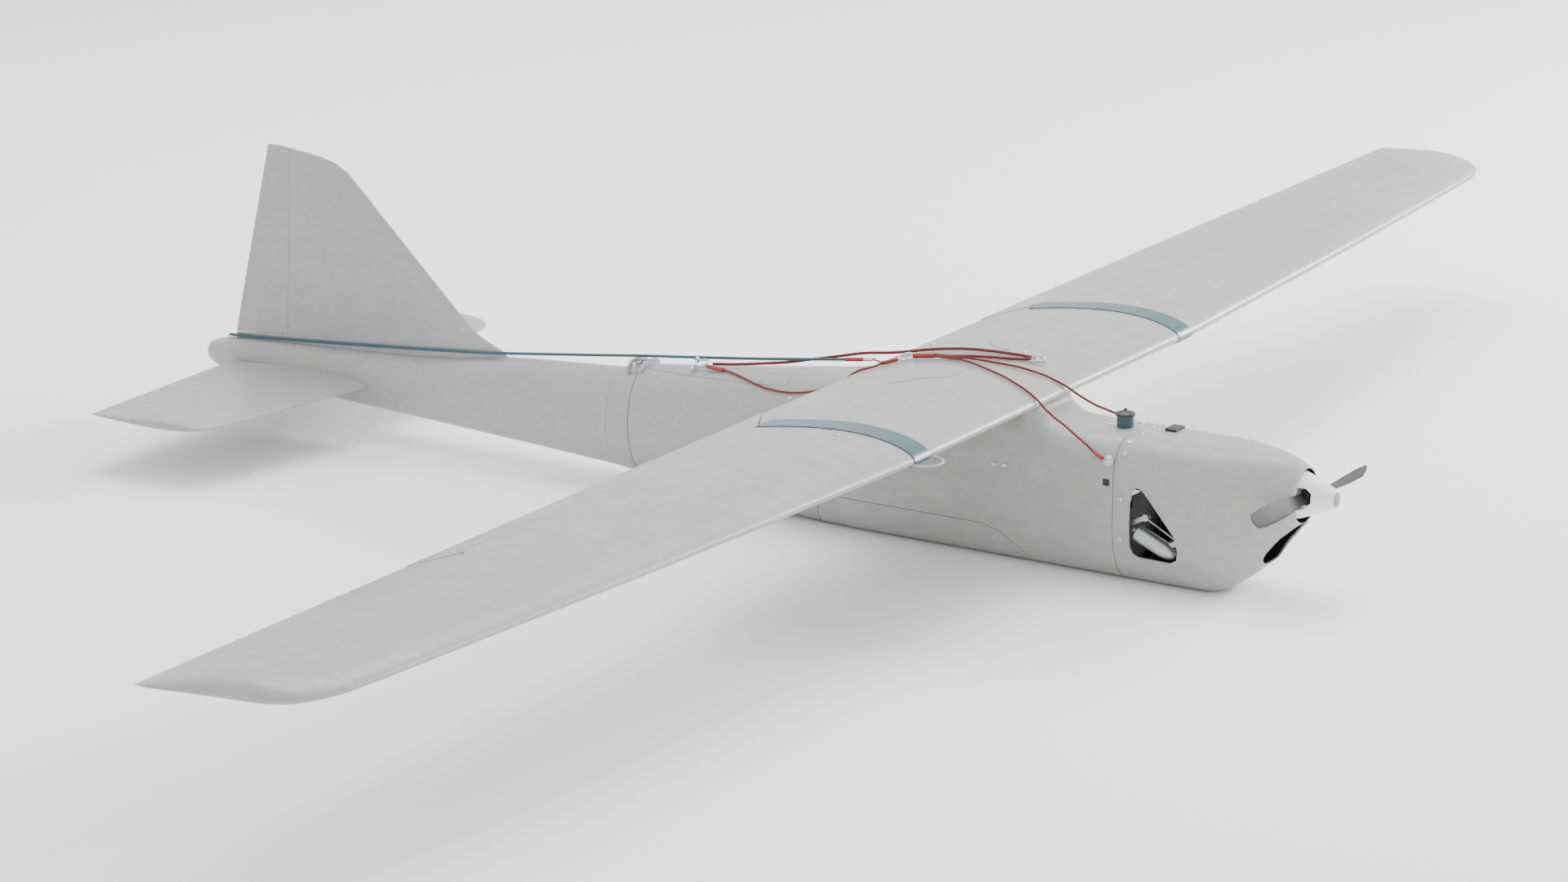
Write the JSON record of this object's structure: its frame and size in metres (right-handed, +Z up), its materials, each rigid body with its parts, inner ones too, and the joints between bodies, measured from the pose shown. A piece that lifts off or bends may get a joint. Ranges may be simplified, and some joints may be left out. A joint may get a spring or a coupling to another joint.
{
  "type": "fixed-wing drone",
  "caption": "High-wing fixed-wing drone with a nose propeller, cowled engine, hinged control surfaces, a tapered tail boom and a corded parachute bridle.",
  "frame": {"origin": "on the flat belly, straight below the trailing edge of the wing, on the middle plane", "axes": "+X towards the nose, +Y towards the left wing tip, +Z up"},
  "size_m": [1.806, 3.1, 0.401],
  "materials": {
    "airframe": "satin gel coat over glass fibre, warm light grey",
    "band_teal": "glossy teal tape",
    "neck_teal": "dark teal moulded",
    "dark_plastic": "black moulded",
    "steel": "bright zinc plated",
    "cast_metal": "grey-green die cast",
    "machined": "machined",
    "blade": "dark grey composite",
    "spinner": "white gloss",
    "ply": "sealed birch ply",
    "tank": "milky polyethylene",
    "battery": "shrink wrap",
    "electronics": "anodised",
    "pack": "ripstop nylon bag",
    "carbon": "carbon tube",
    "servo": "black nylon case",
    "arm": "white nylon",
    "cord_red": "braided dark red line",
    "sleeve_red": "red heat-shrink",
    "cord_teal": "braided teal line"
  },
  "bodies": {
    "airframe": {"fuselage_shell": "airframe", "nose_cowl": "airframe", "belly_hatch": "airframe", "parachute_hatch": "airframe", "joint_collar": "airframe", "tail_boom": "airframe", "latch_bracket": "airframe", "latch_tongue": "airframe", "firewall": "ply", "engine_mount": "machined", "crankcase": "cast_metal", "engine_cylinder": "cast_metal", "spark_plug": "steel", "carburettor": "machined", "muffler": "cast_metal", "throttle_linkage": "cast_metal", "fuel_tank": "tank", "filler_neck": "neck_teal", "equipment_tray": "ply", "flight_battery": "battery", "autopilot_box": "electronics", "parachute_pack": "pack", "antenna_patch": "dark_plastic", "side_port": "dark_plastic", "wing_centre": "airframe", "outer_wing_left": "airframe", "outer_wing_right": "airframe", "spar_tubes": "carbon", "wing_bands": "band_teal", "lifting_loop": "airframe", "aileron_servos": "servo", "stabiliser": "airframe", "fin": "airframe", "tail_servos": "servo", "screws": "steel", "bridle_hardware": "steel", "bridle_sleeves": "sleeve_red", "front_leg_right": "cord_red", "front_leg_left": "cord_red", "rear_leg": "cord_red", "upper_strap": "cord_red", "lower_strap": "cord_red", "tail_cord": "cord_teal"},
    "propeller": {"prop_shaft": "steel", "propeller": "blade", "spinner": "spinner"},
    "filler_cap": {"filler_cap": "dark_plastic"},
    "latch_pin": {"latch_pin": "steel"},
    "aileron_left": {"aileron_left": "airframe"},
    "aileron_right": {"aileron_right": "airframe"},
    "servo_arm_left": {"servo_arm_left": "arm"},
    "servo_arm_right": {"servo_arm_right": "arm"},
    "pushrod_left": {"pushrod_left": "steel"},
    "pushrod_right": {"pushrod_right": "steel"},
    "elevator": {"elevator": "airframe"},
    "elevator_servo_arm": {"elevator_servo_arm": "arm"},
    "elevator_pushrod": {"elevator_pushrod": "steel"},
    "rudder": {"rudder": "airframe"},
    "rudder_servo_arm": {"rudder_servo_arm": "arm"},
    "rudder_pushrod": {"rudder_pushrod": "steel"}
  },
  "joints": [
    {"name": "propeller_spin", "type": "hinge", "parent": "airframe", "child": "propeller", "pos_m": [0.6, 0, 0.141], "axis": [1, 0, 0], "continuous": true},
    {"name": "filler_cap_pull", "type": "slide", "parent": "airframe", "child": "filler_cap", "axis": [0, 0, 1], "range_m": [0, 0.02]},
    {"name": "latch_pin_pull", "type": "slide", "parent": "airframe", "child": "latch_pin", "axis": [0, -1, 0], "range_m": [0, 0.015]},
    {"name": "aileron_left_hinge", "type": "hinge", "parent": "airframe", "child": "aileron_left", "pos_m": [0.04, 0.6, 0.2235], "axis": [0, 1, 0], "range_deg": [-20, 20]},
    {"name": "aileron_right_hinge", "type": "hinge", "parent": "airframe", "child": "aileron_right", "pos_m": [0.04, -0.6, 0.2235], "axis": [0, 1, 0], "range_deg": [-20, 20]},
    {"name": "servo_arm_left_turn", "type": "hinge", "parent": "airframe", "child": "servo_arm_left", "pos_m": [0.132, 0.6, 0.2215], "axis": [0, 1, 0], "range_deg": [-20, 20]},
    {"name": "servo_arm_right_turn", "type": "hinge", "parent": "airframe", "child": "servo_arm_right", "pos_m": [0.132, -0.6, 0.2215], "axis": [0, 1, 0], "range_deg": [-20, 20]},
    {"name": "pushrod_left_pin", "type": "hinge", "parent": "servo_arm_left", "child": "pushrod_left", "pos_m": [0.132, 0.6, 0.1995], "axis": [0, 1, 0], "range_deg": [-20, 20]},
    {"name": "pushrod_right_pin", "type": "hinge", "parent": "servo_arm_right", "child": "pushrod_right", "pos_m": [0.132, -0.6, 0.1995], "axis": [0, 1, 0], "range_deg": [-20, 20]},
    {"name": "elevator_hinge", "type": "hinge", "parent": "airframe", "child": "elevator", "pos_m": [-1.018, 0, 0.08], "axis": [0, 1, 0], "range_deg": [-25, 25]},
    {"name": "elevator_servo_turn", "type": "hinge", "parent": "airframe", "child": "elevator_servo_arm", "pos_m": [-0.79, 0.01, 0.08], "axis": [0, 1, 0], "range_deg": [-25, 25]},
    {"name": "elevator_pushrod_pin", "type": "hinge", "parent": "elevator_servo_arm", "child": "elevator_pushrod", "pos_m": [-0.79, 0.01, 0.066], "axis": [0, 1, 0], "range_deg": [-25, 25]},
    {"name": "rudder_hinge", "type": "hinge", "parent": "airframe", "child": "rudder", "pos_m": [-0.985, 0, 0.126], "axis": [0.0476, 0, 0.9989], "range_deg": [-25, 25]},
    {"name": "rudder_servo_turn", "type": "hinge", "parent": "airframe", "child": "rudder_servo_arm", "pos_m": [-0.79, 0, 0.099], "axis": [0.0476, 0, 0.9989], "range_deg": [-25, 25]},
    {"name": "rudder_pushrod_pin", "type": "hinge", "parent": "rudder_servo_arm", "child": "rudder_pushrod", "pos_m": [-0.79, -0.014, 0.099], "axis": [0.0476, 0, 0.9989], "range_deg": [-25, 25]}
  ],
  "couplings": [
    {"joint": "aileron_right_hinge", "follows": "aileron_left_hinge", "ratio": -1},
    {"joint": "servo_arm_left_turn", "follows": "aileron_left_hinge", "ratio": 1},
    {"joint": "pushrod_left_pin", "follows": "aileron_left_hinge", "ratio": -1},
    {"joint": "servo_arm_right_turn", "follows": "aileron_left_hinge", "ratio": -1},
    {"joint": "pushrod_right_pin", "follows": "aileron_left_hinge", "ratio": 1},
    {"joint": "elevator_servo_turn", "follows": "elevator_hinge", "ratio": 1},
    {"joint": "elevator_pushrod_pin", "follows": "elevator_hinge", "ratio": -1},
    {"joint": "rudder_servo_turn", "follows": "rudder_hinge", "ratio": 1},
    {"joint": "rudder_pushrod_pin", "follows": "rudder_hinge", "ratio": -1}
  ]
}
